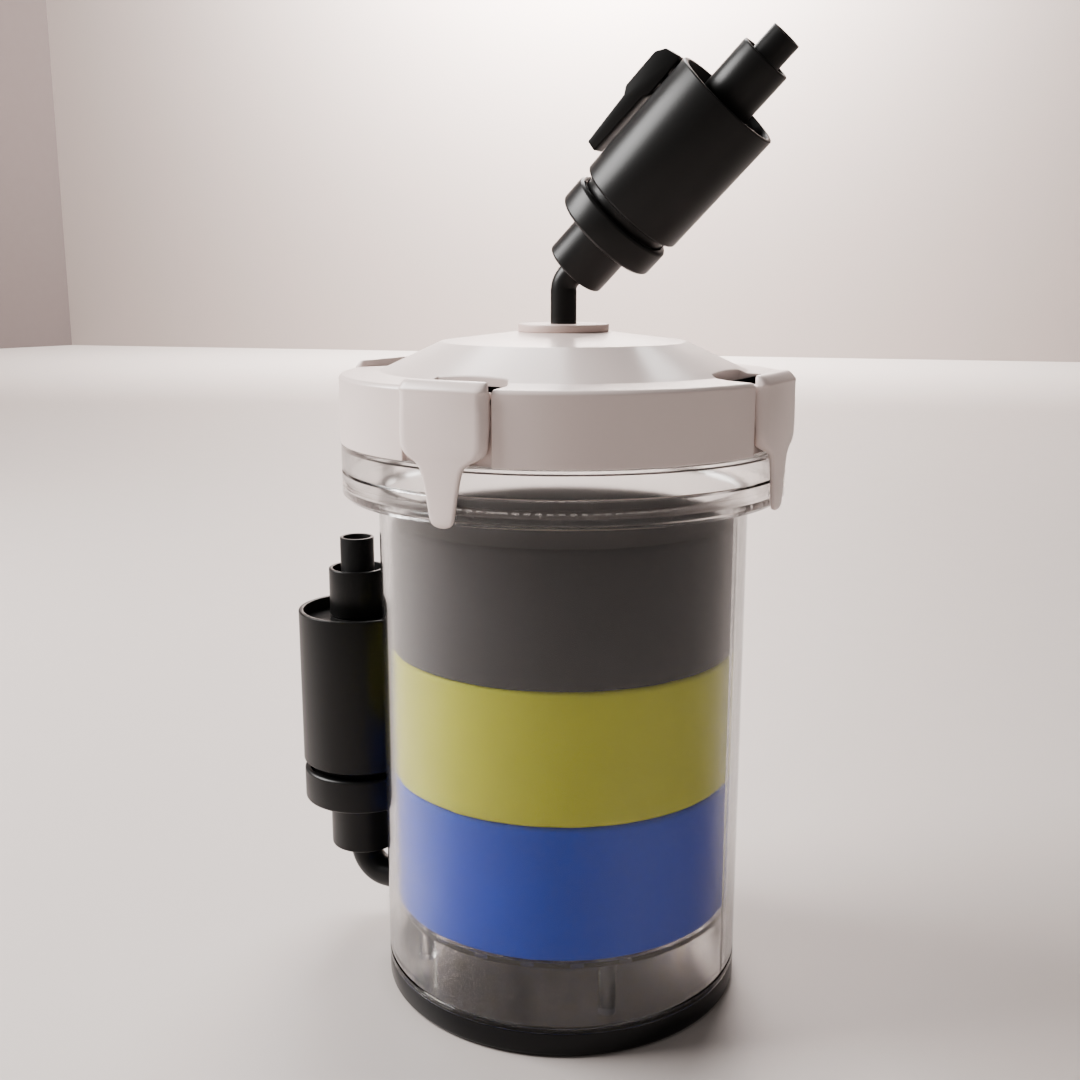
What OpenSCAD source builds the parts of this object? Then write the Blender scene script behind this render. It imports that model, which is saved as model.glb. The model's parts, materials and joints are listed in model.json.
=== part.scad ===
// External canister filter: a clear barrel of sponge pads under a clipped lid, with an in-line
// pump swivelling on the lid and a check-valve connector swivelling low on the barrel wall.
// Units are millimetres. +Z is up and the origin is the centre of the foot's underside.
// The front clip faces -Y, the inlet connector stands on the -X side.

/* [Barrel] */
// Outer radius of the clear barrel and of its foot
barrel_r = 62.5; // [52:0.5:75]
// Wall of the clear barrel
barrel_wall = 2.6; // [2.2:0.1:3.2]
// Height of the dark foot
foot_h = 8.6; // [8.2:0.2:10.4]
// Thickness of the foot under the barrel
foot_floor = 3; // [2.4:0.2:3.6]
// Thickness of the barrel's own floor
floor_t = 3.4; // [2.8:0.2:4]
// Gap all round between the sponge pads and the barrel wall
pad_gap = 1; // [0.5:0.1:2]
// Height of the pad support above the barrel floor
support_h = 23.4; // [19.5:0.5:28]
// Thickness of the pad support
support_t = 1.8; // [1.5:0.1:2.2]
// Thickness of the blue pad
blue_h = 45.7; // [38:0.5:55]
// Thickness of the yellow pad
yellow_h = 44.4; // [37:0.5:53]
// Thickness of the black pad
black_h = 44.6; // [37:0.5:53]
// Empty depth from the black pad up to the collar
head_gap = 8.6; // [4:0.5:12]

/* [Collar] */
// Outer radius of the clear collar
collar_r = 74.3; // [72:0.1:76]
// Visible height of the clear collar, from its underside to the lid's skirt
collar_h = 17.3; // [16.5:0.5:21]
// Wall of the clear collar
collar_wall = 2.6; // [2.2:0.1:3]
// Height of the neck that the lid's seal presses on
neck_h = 11.6; // [10:0.2:12]
// Wall of that neck
neck_wall = 2.6; // [2.2:0.1:3]

/* [Lid] */
// Outer radius of the lid's skirt
lid_r = 74.5; // [72.2:0.1:76.2]
// Height of the lid's skirt
skirt_h = 22.3; // [21:0.5:25]
// Wall of the lid's dome
lid_wall = 2.6; // [2.2:0.1:3]
// Radius where the dome begins
dome_r = 61.1; // [59:0.5:62]
// Radius where the dome's slope changes
knee_r = 40.9; // [34:0.5:46]
// Rise of the dome's steep part
knee_h = 9.4; // [8:0.2:11]
// Rise of the dome's shallow part
crown_h = 3.1; // [2.6:0.1:3.7]
// Radius of the round boss on the lid
boss_r = 15.1; // [13:0.1:18]
// Thickness of that boss
boss_h = 2.5; // [2.1:0.1:3]

/* [Clips] */
// Width of a clip's wide block
clip_w = 29.2; // [25:0.2:34]
// How far a clip's face stands out past the lid's radius
clip_proud = 1.9; // [1.6:0.1:2.3]
// Width of a clip's finger at its root
finger_root_w = 15.2; // [13:0.2:18]
// Width of a clip's finger at its tip
finger_tip_w = 8.6; // [7.2:0.2:10]
// Radius of a clip's steel pin
clip_pin_r = 1.5; // [1.2:0.1:1.7]

/* [Pump] */
// Height where the pump's sloping axis meets the barrel's axis
corner_z = 244.4; // [241:0.2:255]
// Tilt of the pump from upright, in degrees
pump_tilt = 45; // [38:1:52]
// Direction that the pump leans towards, in degrees from +X
pump_heading = 4; // [-180:1:180]
// Outer radius of the pump's elbow pipe
elbow_r = 4.3; // [3.9:0.1:4.6]
// Wall of the pump's elbow pipe
elbow_wall = 1.3; // [1.1:0.1:1.5]
// Outer radius of the pump's body
pump_r = 18.3; // [17.6:0.1:21]
// Length of the pump's body
pump_len = 43.8; // [42.5:0.5:50]
// Outer radius of the pump's neck
pump_neck_r = 10.5; // [10:0.1:11.4]
// Outer radius of the pump's lock ring
pump_ring_r = 17.9; // [17.5:0.1:19]
// Outer radius of the pump's hose nut
pump_nut_r = 8.65; // [8.4:0.05:9.6]
// Outer radius of the pump's hose tail, for 9 mm hose
pump_tail_r = 5.05; // [4.6:0.05:5.4]
// Radius of the motor shaft
shaft_r = 1.25; // [1:0.05:1.4]
// Radius of the tap's ball
ball_r = 5.2; // [4.8:0.1:5.3]

/* [Inlet connector] */
// Distance from the barrel's axis to the connector's axis
inlet_reach = 88; // [87:0.5:96]
// Height of the elbow pipe where it enters the barrel
port_z = 15.5; // [15.5:0.1:18]
// Outer radius of the connector's elbow pipe
inlet_elbow_r = 5.8; // [5.2:0.1:5.9]
// Outer radius of the connector's body
inlet_r = 22.8; // [21.6:0.1:24]
// Length of the connector's body
inlet_len = 59.7; // [52:0.5:68]
// Outer radius of the connector's neck
inlet_neck_r = 13; // [12.4:0.1:14]
// Outer radius of the connector's lock ring
inlet_ring_r = 22.6; // [21.8:0.1:23.6]
// Outer radius of the connector's hose nut
inlet_nut_r = 10.9; // [10.4:0.1:12]
// Outer radius of the connector's hose tail, for 12 mm hose
inlet_tail_r = 6.35; // [5.8:0.05:6.6]

/* [Fits] */
// Radial clearance of turning and sliding fits
run_fit = 0.05; // [0.03:0.01:0.08]
// Radial clearance between mouldings that slip together
slip_fit = 0.3; // [0.25:0.05:0.4]

/* [Hidden] */
$fn = 96;
eps = 0.01;

// Heights up the barrel
barrel_in = barrel_r - barrel_wall;
barrel_floor_z = foot_h;
support_z = barrel_floor_z + support_h;
blue_z = support_z;
yellow_z = blue_z + blue_h;
black_z = yellow_z + yellow_h;
pad_r = barrel_in - pad_gap;
collar_z = black_z + black_h + head_gap;
collar_top = collar_z + collar_h;
collar_base_t = 3;
ledge_t = 1.7;
neck_r = 69;
neck_in = neck_r - neck_wall;
neck_top = collar_top + neck_h;

// Lid heights
skirt_gap = 0.3;
skirt_z = collar_top + skirt_gap;
rim_z = skirt_z + skirt_h;
skirt_in = neck_r + 0.6;
seal_t = 2.6;
land_z = neck_top + seal_t;
rim_bevel = 1;
dome_z = rim_z + 0.7;
knee_z = dome_z + knee_h;
crown_z = knee_z + crown_h;
bush_r = 8.2;
seal_groove_r = elbow_r + 1.3;

// Clip places
pin_x = lid_r - 4;
pin_z = rim_z - 3.7;
knuckle_r = 2.9;
block_top = rim_z + 2.1;
clip_face = lid_r + clip_proud;
pocket_gap = 0.6;
pocket_w = clip_w + 2 * pocket_gap;
pocket_floor = pin_z - knuckle_r - 0.4;
pocket_back = pin_x - 7.1;
shelf_back = dome_r - 3.4;
shelf_w = pocket_w - 6;
shelf_floor = rim_z - 4.2;
recess_x = lid_r - 3.2;
pin_reach = pocket_w / 2 + 1.6;
latch_z = collar_z + 4;
latch_h = 1.9;
latch_depth = 1.1;

// Pump stations along its axis, from the corner where the axes meet
bend_r = 6.5;
bend_leg = bend_r * tan(pump_tilt / 2);
bend_lap = 0.4;
bend_step = 0.08;
elbow_bore = elbow_r - elbow_wall;
elbow_foot_z = crown_z - lid_wall - 7.4;
cover_face_t = 3.5;
s_neck = 5.7;
s_ring = 20.6;
s_ring_end = 30;
s_body = 33.2;
s_end = s_body + pump_len;
shell_wall = 1.6;
shell_in = pump_r - shell_wall;
pump_neck_out = pump_r - 2.9;
pump_neck_in = pump_neck_out - 2.2;
s_flange = s_ring + 2;
s_flange_top = s_flange + 2.4;
s_gasket_top = s_flange_top + 0.6;
s_can = s_body + 3.4;
can_r = shell_in - 2.3;
can_wall = 1.2;
well_in = 5.8;
well_wall = 1;
s_ball = s_end - 9.6;
s_valve = s_ball - ball_r - 1.2;
s_can_end = s_valve - 1.4;
s_well_end = s_can_end - 2.4;
core_s = s_can + 3.4;
core_end = s_well_end - 2.4;
core_r = can_r - can_wall - 0.3;
tooth_in = well_in + well_wall + 0.2;
core_in = core_r - 0.4068 * (core_r - tooth_in);
coil_gap = 0.2 * (core_in - tooth_in);
s_floor = s_ball + 2.6;
floor_plate = 1.8;
s_boss_end = s_end - 2.4;
s_thread_end = s_end + 3.2;
s_nut_end = s_end + 16;
s_tail_end = s_end + 24.4;
tail_wall = 1.2;
root_step = 0.4;
thread_r = pump_nut_r - 1.65;
valve_bore = ball_r + 0.4;
stem_r = 1.8;
lever_base = pump_r + 0.7;

// Inlet connector heights
inlet_bend_r = 10;
spigot_r = 4.6;
spigot_bore = spigot_r - 1.4;
spigot_x = inlet_reach - barrel_r - 1.5;
spigot_len = barrel_wall + 5;
circlip_x = spigot_x + spigot_len - 1.4;
circlip_in = 3.9;
circlip_t = 0.8;
grommet_r = 6.2;
grommet_lip = 6.8;
h_neck = port_z + 11.2;
h_ring = h_neck + 20.4;
h_ring_end = h_ring + 12.9;
h_body = h_ring_end + 2.7;
h_end = h_body + inlet_len;
inlet_wall = 1.8;
inlet_in = inlet_r - inlet_wall;
inlet_neck_out = inlet_r - 3.6;
inlet_neck_in = inlet_neck_out - 2.6;
h_flange = h_ring + 2.2;
h_flange_top = h_flange + 2.7;
h_gasket_top = h_flange_top + 0.8;
h_nut_end = h_end + 15.8;
h_tail_end = h_end + 27.5;
h_floor = h_end - 6.5;
h_thread_end = h_end + 4;
inlet_thread_r = inlet_nut_r - 1.75;
seat_hole = 6;
poppet_r = 8.6;
h_seat = h_gasket_top + 1.2;
seat_t = 2.4;
poppet_t = 1.6;
h_poppet = h_seat - poppet_t - 0.9;
poppet_stem_r = 1.6;
h_guide = h_neck + 4;
guide_t = 2;
spring_r = 4.2;
spring_wire = 0.45;
spring_turns = 6;

// Points along an arc, for outlines
function arc(c, r, a0, a1, n) = [for (i = [0:n]) let (a = a0 + (a1 - a0) * i / n) c + r * [cos(a), sin(a)]];

module tube(r_out, r_in, s0, s1) {
    translate([0, 0, s0]) difference() {
        cylinder(r = r_out, h = s1 - s0);
        translate([0, 0, -eps]) cylinder(r = r_in, h = s1 - s0 + 2 * eps);
    }
}

module disc(r, s0, s1) { translate([0, 0, s0]) cylinder(r = r, h = s1 - s0); }

module around(count, start = 0) {
    for (i = [0:count - 1]) rotate([0, 0, start + i * 360 / count]) children();
}

module on_pump() {
    translate([0, 0, corner_z]) rotate([0, 0, pump_heading]) rotate([0, pump_tilt, 0]) children();
}

module on_inlet() { translate([-inlet_reach, 0, 0]) children(); }

// The tap's axis is radial, on the pump's upper side: its local +Z runs outwards
module on_tap() { on_pump() translate([0, 0, s_ball]) rotate([0, -90, 0]) children(); }

// ---- Barrel and what it holds ----

module base_foot() {
    color("black") rotate_extrude() polygon([
        [0, 0], [barrel_r - 1.2, 0], [barrel_r, 1.2], [barrel_r, foot_h],
        [barrel_r - 3, foot_h], [barrel_r - 3, foot_floor], [0, foot_floor]]);
}

module barrel() {
    step_r = barrel_r - 3 - 0.2;
    z0 = foot_h - floor_t;
    color("lightcyan", 0.35) difference() {
        rotate_extrude() polygon([
            [0, z0], [step_r, z0], [step_r, foot_h], [barrel_r, foot_h],
            [barrel_r, foot_h + 2], [barrel_r - 0.5, foot_h + 2.3], [barrel_r - 0.5, foot_h + 2.9],
            [barrel_r, foot_h + 3.2], [barrel_r, collar_z + collar_base_t],
            [barrel_in, collar_z + collar_base_t], [barrel_in, foot_h], [0, foot_h]]);
        translate([-barrel_r - 1, 0, port_z]) rotate([0, 90, 0])
            cylinder(r = grommet_r, h = barrel_wall + 6);
    }
}

module collar() {
    in_r = collar_r - collar_wall;
    top = collar_top;
    color("lightcyan", 0.35) rotate_extrude() polygon([
        [barrel_r, collar_z], [collar_r - 1.2, collar_z], [collar_r, collar_z + 1.2],
        [collar_r, latch_z], [collar_r - latch_depth, latch_z],
        [collar_r - latch_depth, latch_z + latch_h], [collar_r, latch_z + latch_h],
        [collar_r, latch_z + latch_h + 2.3], [collar_r - 0.5, latch_z + latch_h + 2.8],
        [collar_r, latch_z + latch_h + 3.3], [collar_r, top], [neck_r, top], [neck_r, neck_top],
        [neck_in, neck_top], [neck_in, top - ledge_t], [in_r, top - ledge_t],
        [in_r, collar_z + collar_base_t], [barrel_r, collar_z + collar_base_t]]);
}

module pad_support() {
    leg_r = 3;
    color("lightcyan", 0.4) {
        difference() {
            disc(pad_r, support_z - support_t, support_z);
            for (ring = [1:3]) around(ring * 6, ring * 8)
                translate([ring * 14, 0, support_z - support_t - 1]) cylinder(r = 3.2, h = support_t + 2);
        }
        around(4, 45) translate([pad_r - 9, 0, barrel_floor_z])
            cylinder(r = leg_r, h = support_h - support_t);
    }
}

module sponge(z, h) { disc(pad_r, z, z + h); }
module blue_sponge() { color([0.25, 0.38, 0.7]) sponge(blue_z, blue_h); }
module yellow_sponge() { color([0.72, 0.7, 0.2]) sponge(yellow_z, yellow_h); }
module black_sponge() { color([0.2, 0.2, 0.2]) sponge(black_z, black_h); }

// ---- Lid ----

module pocket() {
    translate([pocket_back, -pocket_w / 2, pocket_floor]) cube([20, pocket_w, 40]);
    translate([0, 0, shelf_floor]) linear_extrude(40) polygon([
        [shelf_back, -shelf_w / 2], [pocket_back + 1, -pocket_w / 2], [pocket_back + 1, pocket_w / 2],
        [shelf_back, shelf_w / 2]]);
    translate([recess_x, -pocket_w / 2, skirt_z - 1]) cube([20, pocket_w, 60]);
    translate([pin_x, -pin_reach, pin_z]) rotate([-90, 0, 0]) cylinder(r = clip_pin_r, h = 2 * pin_reach);
}

module lid() {
    color([0.9, 0.88, 0.87]) difference() {
        rotate_extrude() polygon([
            [bush_r, crown_z - lid_wall], [boss_r, crown_z - lid_wall], [knee_r - 1, knee_z - lid_wall],
            [shelf_back - 2, dome_z - lid_wall + 1.9], [shelf_back - 2, shelf_floor - 2],
            [pocket_back - 2.3, shelf_floor - 2], [pocket_back - 2.3, land_z],
            [skirt_in, land_z], [skirt_in, skirt_z], [lid_r, skirt_z], [lid_r, rim_z - rim_bevel],
            [lid_r - rim_bevel, rim_z], [dome_r, dome_z], [knee_r, knee_z], [boss_r, crown_z],
            [bush_r, crown_z]]);
        around(4) pocket();
    }
}

module lid_seal() { color([0.25, 0.25, 0.25]) tube(neck_r + 0.2, neck_in, neck_top, land_z); }

module clip_pins() {
    color("silver") around(4) translate([pin_x, -pin_reach, pin_z]) rotate([-90, 0, 0])
        cylinder(r = clip_pin_r, h = 2 * pin_reach);
}

module outlet_bush() {
    color([0.85, 0.78, 0.76]) difference() {
        union() {
            disc(boss_r, crown_z, crown_z + boss_h);
            disc(bush_r, crown_z - lid_wall - 5.4, crown_z);
        }
        disc(elbow_r + run_fit, crown_z - 20, crown_z + 20);
        disc(seal_groove_r, crown_z - 3, crown_z - 1);
    }
}

module outlet_locknut() {
    nut_z = crown_z - lid_wall - 4;
    color([0.85, 0.78, 0.76]) difference() {
        translate([0, 0, nut_z]) cylinder(r = 13, h = 4, $fn = 6);
        disc(bush_r, nut_z - 1, nut_z + 5);
    }
}

module outlet_seal() {
    color([0.15, 0.15, 0.15]) tube(seal_groove_r, elbow_r + run_fit, crown_z - 3, crown_z - 1);
}

module inlet_grommet() {
    wall_lip = 1.3;
    color([0.15, 0.15, 0.15]) difference() {
        union() {
            difference() {
                translate([-barrel_r - wall_lip, 0, port_z]) rotate([0, 90, 0])
                    cylinder(r = grommet_lip, h = barrel_wall + 2 * wall_lip + 0.6);
                tube(barrel_r, barrel_in, port_z - 10, port_z + 10);
            }
            translate([-barrel_r - wall_lip, 0, port_z]) rotate([0, 90, 0])
                cylinder(r = grommet_r, h = barrel_wall + 2 * wall_lip);
        }
        translate([-barrel_r - 20, 0, port_z]) rotate([0, 90, 0])
            cylinder(r = spigot_r + run_fit, h = 40);
    }
}

// ---- Clips: modelled on the +X side, then turned into place ----

module clip_face_outline() {
    half = clip_w / 2;
    root = finger_root_w / 2;
    tip = finger_tip_w / 2;
    block_z = skirt_z + 3.4;
    root_z = skirt_z - 1.6;
    tip_z = collar_z - 0.6;
    corner = 4;
    right = concat(
        arc([half - 1.5, block_top - 1.5], 1.5, 90, 0, 4),
        arc([half - corner, block_z + corner - 1.5], corner, 0, -68, 6),
        arc([root + 2.6, root_z + 0.6], 2.6, 112, 176, 5),
        arc([0, tip_z + tip], tip, -6, -90, 8));
    left = [for (i = [len(right) - 1:-1:0]) [-right[i][0], right[i][1]]];
    polygon(concat(right, left));
}

module clip_side_outline() {
    inner = lid_r - 2.9;
    finger_in = collar_r + slip_fit;
    tip_z = collar_z - 0.6;
    nib = latch_depth - 0.1;
    polygon([
        [inner, block_top], [clip_face - 2.6, block_top], [clip_face, block_top - 2.6],
        [clip_face, skirt_z + 1], [clip_face - 0.2, latch_z + 4], [clip_face - 0.4, tip_z],
        [finger_in, tip_z], [finger_in, latch_z + 0.3], [finger_in - nib, latch_z + 0.3],
        [finger_in - nib, latch_z + latch_h - 0.3], [finger_in, latch_z + latch_h - 0.1],
        [finger_in, skirt_z], [inner + 0.6, skirt_z + 1], [inner, skirt_z + 3]]);
}

module clip() {
    color([0.9, 0.88, 0.87]) difference() {
        intersection() {
            union() {
                translate([0, clip_w / 2, 0]) rotate([90, 0, 0]) linear_extrude(clip_w) clip_side_outline();
                translate([pin_x, -clip_w / 2, pin_z]) rotate([-90, 0, 0])
                    cylinder(r = knuckle_r, h = clip_w);
            }
            rotate([90, 0, 90]) linear_extrude(clip_face + 5) clip_face_outline();
        }
        translate([pin_x, -clip_w, pin_z]) rotate([-90, 0, 0])
            cylinder(r = clip_pin_r + run_fit, h = 2 * clip_w);
    }
}

module clip_front() { rotate([0, 0, -90]) clip(); }
module clip_right() { clip(); }
module clip_back() { rotate([0, 0, 90]) clip(); }
module clip_left() { rotate([0, 0, 180]) clip(); }

// ---- Mouldings that the pump and the inlet connector share ----

// A body tube with a narrower neck that carries two bayonet lugs
module shell(r_out, r_in, neck_out, neck_in, s0, s1, s2, lug_s, lug_h) {
    lug_r = neck_out + 1;
    rotate_extrude() polygon([
        [neck_in, s0], [neck_out, s0], [neck_out, s1], [r_out - 0.6, s1], [r_out, s1 + 0.6],
        [r_out, s2 - 0.3], [r_out - 0.3, s2], [r_in, s2], [r_in, s1 + 1.8], [neck_in, s1 + 1.8]]);
    intersection() {
        tube(lug_r, neck_out - 0.2, lug_s, lug_s + lug_h);
        around(2) translate([0, -4, lug_s - 1]) cube([lug_r + 5, 8, lug_h + 2]);
    }
}

// A ring that turns on the neck, holds the cover's flange and lets the lugs in through two slots
module lock_ring(r_out, s0, s1, hole_r, bore_r, lip_t, groove_s, groove_h) {
    groove_r = bore_r + 1.1;
    difference() {
        rotate_extrude() polygon([
            [hole_r, s0], [r_out - 0.8, s0], [r_out, s0 + 0.8], [r_out, s1 - 0.8], [r_out - 0.8, s1],
            [bore_r, s1], [bore_r, groove_s + groove_h], [groove_r, groove_s + groove_h],
            [groove_r, groove_s], [bore_r, groove_s], [bore_r, s0 + lip_t], [hole_r, s0 + lip_t]]);
        intersection() {
            disc(groove_r, groove_s + 0.5, s1 + 1);
            around(2, 50) translate([0, -4.8, groove_s]) cube([groove_r + 5, 9.6, s1 - groove_s + 2]);
        }
    }
}

// A cover whose round neck opens into a flange
module neck_cover(neck_out, flange_out, hole_r, chamber_r, s0, s1, s2) {
    rotate_extrude() polygon([
        [hole_r, s0], [neck_out - 0.6, s0], [neck_out, s0 + 0.6], [neck_out, s1], [flange_out, s1],
        [flange_out, s2], [chamber_r, s2], [chamber_r, s0 + cover_face_t], [hole_r, s0 + cover_face_t]]);
}

// A nut with an open, recessed end, and grip flats
module hose_nut(r_out, bore_r, s0, s1) {
    rotate_extrude() polygon([
        [bore_r, s0], [r_out - 0.4, s0], [r_out, s0 + 0.4], [r_out, s1 - 0.3], [r_out - 0.3, s1],
        [bore_r, s1]]);
}

// A thin hose tail on a wider seat
module hose_tail(r_out, wall, seat_r, s0, s1, s2) {
    rotate_extrude() polygon([
        [r_out - wall, s0], [seat_r, s0], [seat_r, s1], [r_out, s1], [r_out, s2],
        [r_out - wall, s2]]);
}

// ---- Pump ----

module outlet_elbow() {
    module run(r, extra) {
        rotate([0, 0, pump_heading]) {
            disc(r, elbow_foot_z - extra, corner_z - bend_leg + bend_lap);
            translate([bend_r, 0, corner_z - bend_leg]) rotate([-90, 0, 0]) rotate([0, 0, 180])
                rotate_extrude(angle = pump_tilt) translate([bend_r, 0]) circle(r = r - bend_step);
        }
        on_pump() disc(r, bend_leg - bend_lap, s_neck + cover_face_t + extra);
    }
    color([0.13, 0.13, 0.13]) difference() {
        union() {
            run(elbow_r, 0);
            rotate([0, 0, pump_heading]) disc(elbow_r + 1, elbow_foot_z, elbow_foot_z + 1.8);
        }
        run(elbow_bore, eps);
    }
}

module impeller_cover() {
    hub_s = s_ring - 0.6;
    color([0.13, 0.13, 0.13]) on_pump() {
        neck_cover(pump_neck_r, pump_neck_out - slip_fit, elbow_r, pump_neck_r - 1.8,
            s_neck, s_flange, s_flange_top);
        tube(2.8, 2, hub_s, hub_s + 2.6);
        around(3, 30) translate([2.4, -0.6, hub_s]) cube([pump_neck_r - 1.8 - 2.3, 1.2, 2.6]);
    }
}

module cover_gasket() {
    color([0.2, 0.2, 0.2]) on_pump()
        tube(pump_neck_out - slip_fit, pump_neck_in, s_flange_top, s_gasket_top);
}

module pump_shell() {
    color([0.13, 0.13, 0.13]) on_pump() difference() {
        shell(pump_r, shell_in, pump_neck_out, pump_neck_in, s_gasket_top, s_body, s_end,
            s_gasket_top + 0.5, 1.6);
        translate([0, 0, s_ball]) rotate([0, -90, 0]) cylinder(r = stem_r + 0.6, h = pump_r + 2);
        translate([0, 0, s_can + 4]) rotate([-90, 0, 0]) cylinder(r = 2.6, h = pump_r + 2);
    }
}

module motor_can() {
    color([0.2, 0.2, 0.22]) on_pump() {
        rotate_extrude() polygon([
            [well_in, s_can], [can_r, s_can], [can_r, s_can_end - can_wall],
            [can_r - can_wall, s_can_end - can_wall], [can_r - can_wall, s_can + can_wall],
            [well_in + well_wall, s_can + can_wall], [well_in + well_wall, s_well_end],
            [0, s_well_end], [0, s_well_end - can_wall], [well_in, s_well_end - can_wall]]);
        around(4, 45) translate([can_r - 0.4, -0.8, s_can + 3]) cube([shell_in - can_r + 0.3, 1.6, 16]);
    }
}

module motor_can_cap() {
    color([0.2, 0.2, 0.22]) on_pump() disc(can_r, s_can_end - can_wall, s_can_end);
}

module stator_core() {
    color([0.5, 0.5, 0.52]) on_pump() {
        tube(core_r, core_in, core_s, core_end);
        intersection() {
            tube(core_in + 0.3, tooth_in, core_s, core_end);
            around(4) translate([0, -1.5, core_s]) cube([core_r, 3, core_end - core_s]);
        }
    }
}

module stator_coils() {
    coil_t = 1.2;
    length = core_end - core_s;
    color([0.72, 0.4, 0.2]) on_pump() around(4)
        translate([tooth_in + coil_gap, 0, core_s - coil_t]) difference() {
            translate([0, -1.6 - coil_t, 0]) 
                cube([core_in - tooth_in - 2 * coil_gap, 3.2 + 2 * coil_t, length + 2 * coil_t]);
            translate([-1, -1.6, coil_t - 0.1]) cube([10, 3.2, length + 0.2]);
        }
}

module motor_shaft() {
    color([0.85, 0.85, 0.85]) on_pump() disc(shaft_r, s_ring - 0.4, s_well_end - can_wall - 0.4);
}

module shaft_bush_front() { color([0.2, 0.2, 0.2]) on_pump() tube(2, shaft_r, s_ring - 0.4, s_ring + 2); }

module shaft_bush_rear() {
    color([0.2, 0.2, 0.2]) on_pump()
        tube(well_in, shaft_r, s_well_end - can_wall - 2, s_well_end - can_wall);
}

module cable_gland() {
    color([0.13, 0.13, 0.13]) on_pump() translate([0, 0, s_can + 4]) rotate([-90, 0, 0]) difference() {
        union() {
            translate([0, 0, can_r]) cylinder(r = 2.6, h = pump_r + 6 - can_r);
            translate([0, 0, pump_r + 0.3]) cylinder(r = 3.6, h = 2.4);
        }
        translate([0, 0, can_r + 1]) cylinder(r = 1.6, h = 20);
    }
}

module impeller() {
    hub_r = 2.7;
    s_vane = s_gasket_top + 1;
    s_disc = s_vane + 3.8;
    vane_r = pump_neck_in - 0.9;
    color([0.9, 0.9, 0.85]) on_pump() difference() {
        union() {
            disc(vane_r, s_disc, s_disc + 1.3);
            disc(hub_r, s_vane, s_can + 1.6);
            intersection() {
                disc(vane_r, s_vane, s_disc + 0.5);
                around(6) rotate([0, 0, 20]) translate([hub_r - 1, -0.5, s_vane]) cube([vane_r, 1, 4.3]);
            }
        }
        disc(shaft_r + run_fit, s_vane - 1, s_can + 3);
    }
}

module rotor_magnet() {
    color([0.25, 0.25, 0.27]) on_pump()
        tube(well_in - 0.6, shaft_r + run_fit, s_can + 1.6, s_well_end - can_wall - 2.6);
}

module outlet_cover() {
    color([0.13, 0.13, 0.13]) on_pump() difference() {
        union() {
            disc(shell_in, s_floor, s_floor + floor_plate);
            disc(pump_nut_r, s_valve, s_boss_end);
            disc(thread_r, s_boss_end - eps, s_thread_end);
            translate([0, 0, s_ball]) rotate([0, -90, 0]) cylinder(r = stem_r + 1.6, h = shell_in - 0.6);
        }
        disc(valve_bore, s_valve - 1, s_ball + ball_r + 1.4);
        disc(ball_r - 1.7, s_ball, s_thread_end + 1);
        disc(pump_tail_r + root_step, s_boss_end + 1, s_thread_end + 1);
        translate([0, 0, s_ball]) rotate([0, -90, 0]) cylinder(r = stem_r + run_fit, h = pump_r);
    }
}

module ball_seats() {
    color([0.95, 0.95, 0.95]) on_pump() {
        tube(valve_bore, 3.9, s_valve, s_valve + 1.5);
        tube(valve_bore, 3.9, s_ball + ball_r - 0.3, s_ball + ball_r + 1.4);
    }
}

module outlet_hose_tail() {
    color([0.13, 0.13, 0.13]) on_pump()
        hose_tail(pump_tail_r, tail_wall, pump_tail_r + root_step, s_boss_end + 1, s_thread_end, s_tail_end);
}

module outlet_hose_nut() {
    color([0.13, 0.13, 0.13]) on_pump()
        hose_nut(pump_nut_r, thread_r + slip_fit, s_boss_end + 0.3, s_nut_end);
}

module pump_lock_ring() {
    color([0.13, 0.13, 0.13]) on_pump() lock_ring(pump_ring_r, s_ring, s_ring_end, pump_neck_r + slip_fit,
        pump_neck_out + slip_fit, 1.7, s_gasket_top + 0.2, 2.3);
}

// ---- Tap ----

module tap_ball() {
    color([0.85, 0.85, 0.87]) on_tap() difference() {
        sphere(r = ball_r);
        rotate([0, 90, 0]) translate([0, 0, -10]) cylinder(r = 3.4, h = 20);
        translate([-1, -4, ball_r - 1.6]) cube([2, 8, 5]);
    }
}

module tap_stem() {
    color([0.6, 0.6, 0.62]) on_tap() {
        disc(stem_r, ball_r + 0.5, lever_base + 4);
        translate([-0.9, -1.5, ball_r - 1.2]) cube([1.8, 3, 2]);
    }
}

module lever_screw() {
    color([0.7, 0.7, 0.72]) on_tap() difference() {
        disc(2.2, lever_base + 6.2, lever_base + 7.6);
        translate([-3, -0.3, lever_base + 7]) cube([6, 0.6, 2]);
    }
}

// The lever's local +X is along the pump towards the hose, its local +Z stands off the body
module tap_lever() {
    half_w = 3.6;
    back = -(s_ball - (s_body + 4));
    front = s_end - 1.5 - s_ball;
    low = lever_base;
    color([0.13, 0.13, 0.13]) on_tap() difference() {
        translate([0, half_w, 0]) rotate([90, 0, 0]) linear_extrude(2 * half_w) polygon([
            [back, low + 1.6], [back + 0.6, low + 5.2], [-11.6, low + 6.2], [-9.4, low + 7.6],
            [4.2, low + 7.6], [front - 1, low + 5.6], [front, low + 1.2], [front - 0.6, low],
            [-6, low], [-8, low + 1.2]]);
        disc(stem_r, low - 1, low + 4);
        disc(2.2, low + 6.2, low + 9);
    }
}

// ---- Inlet connector ----

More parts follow.
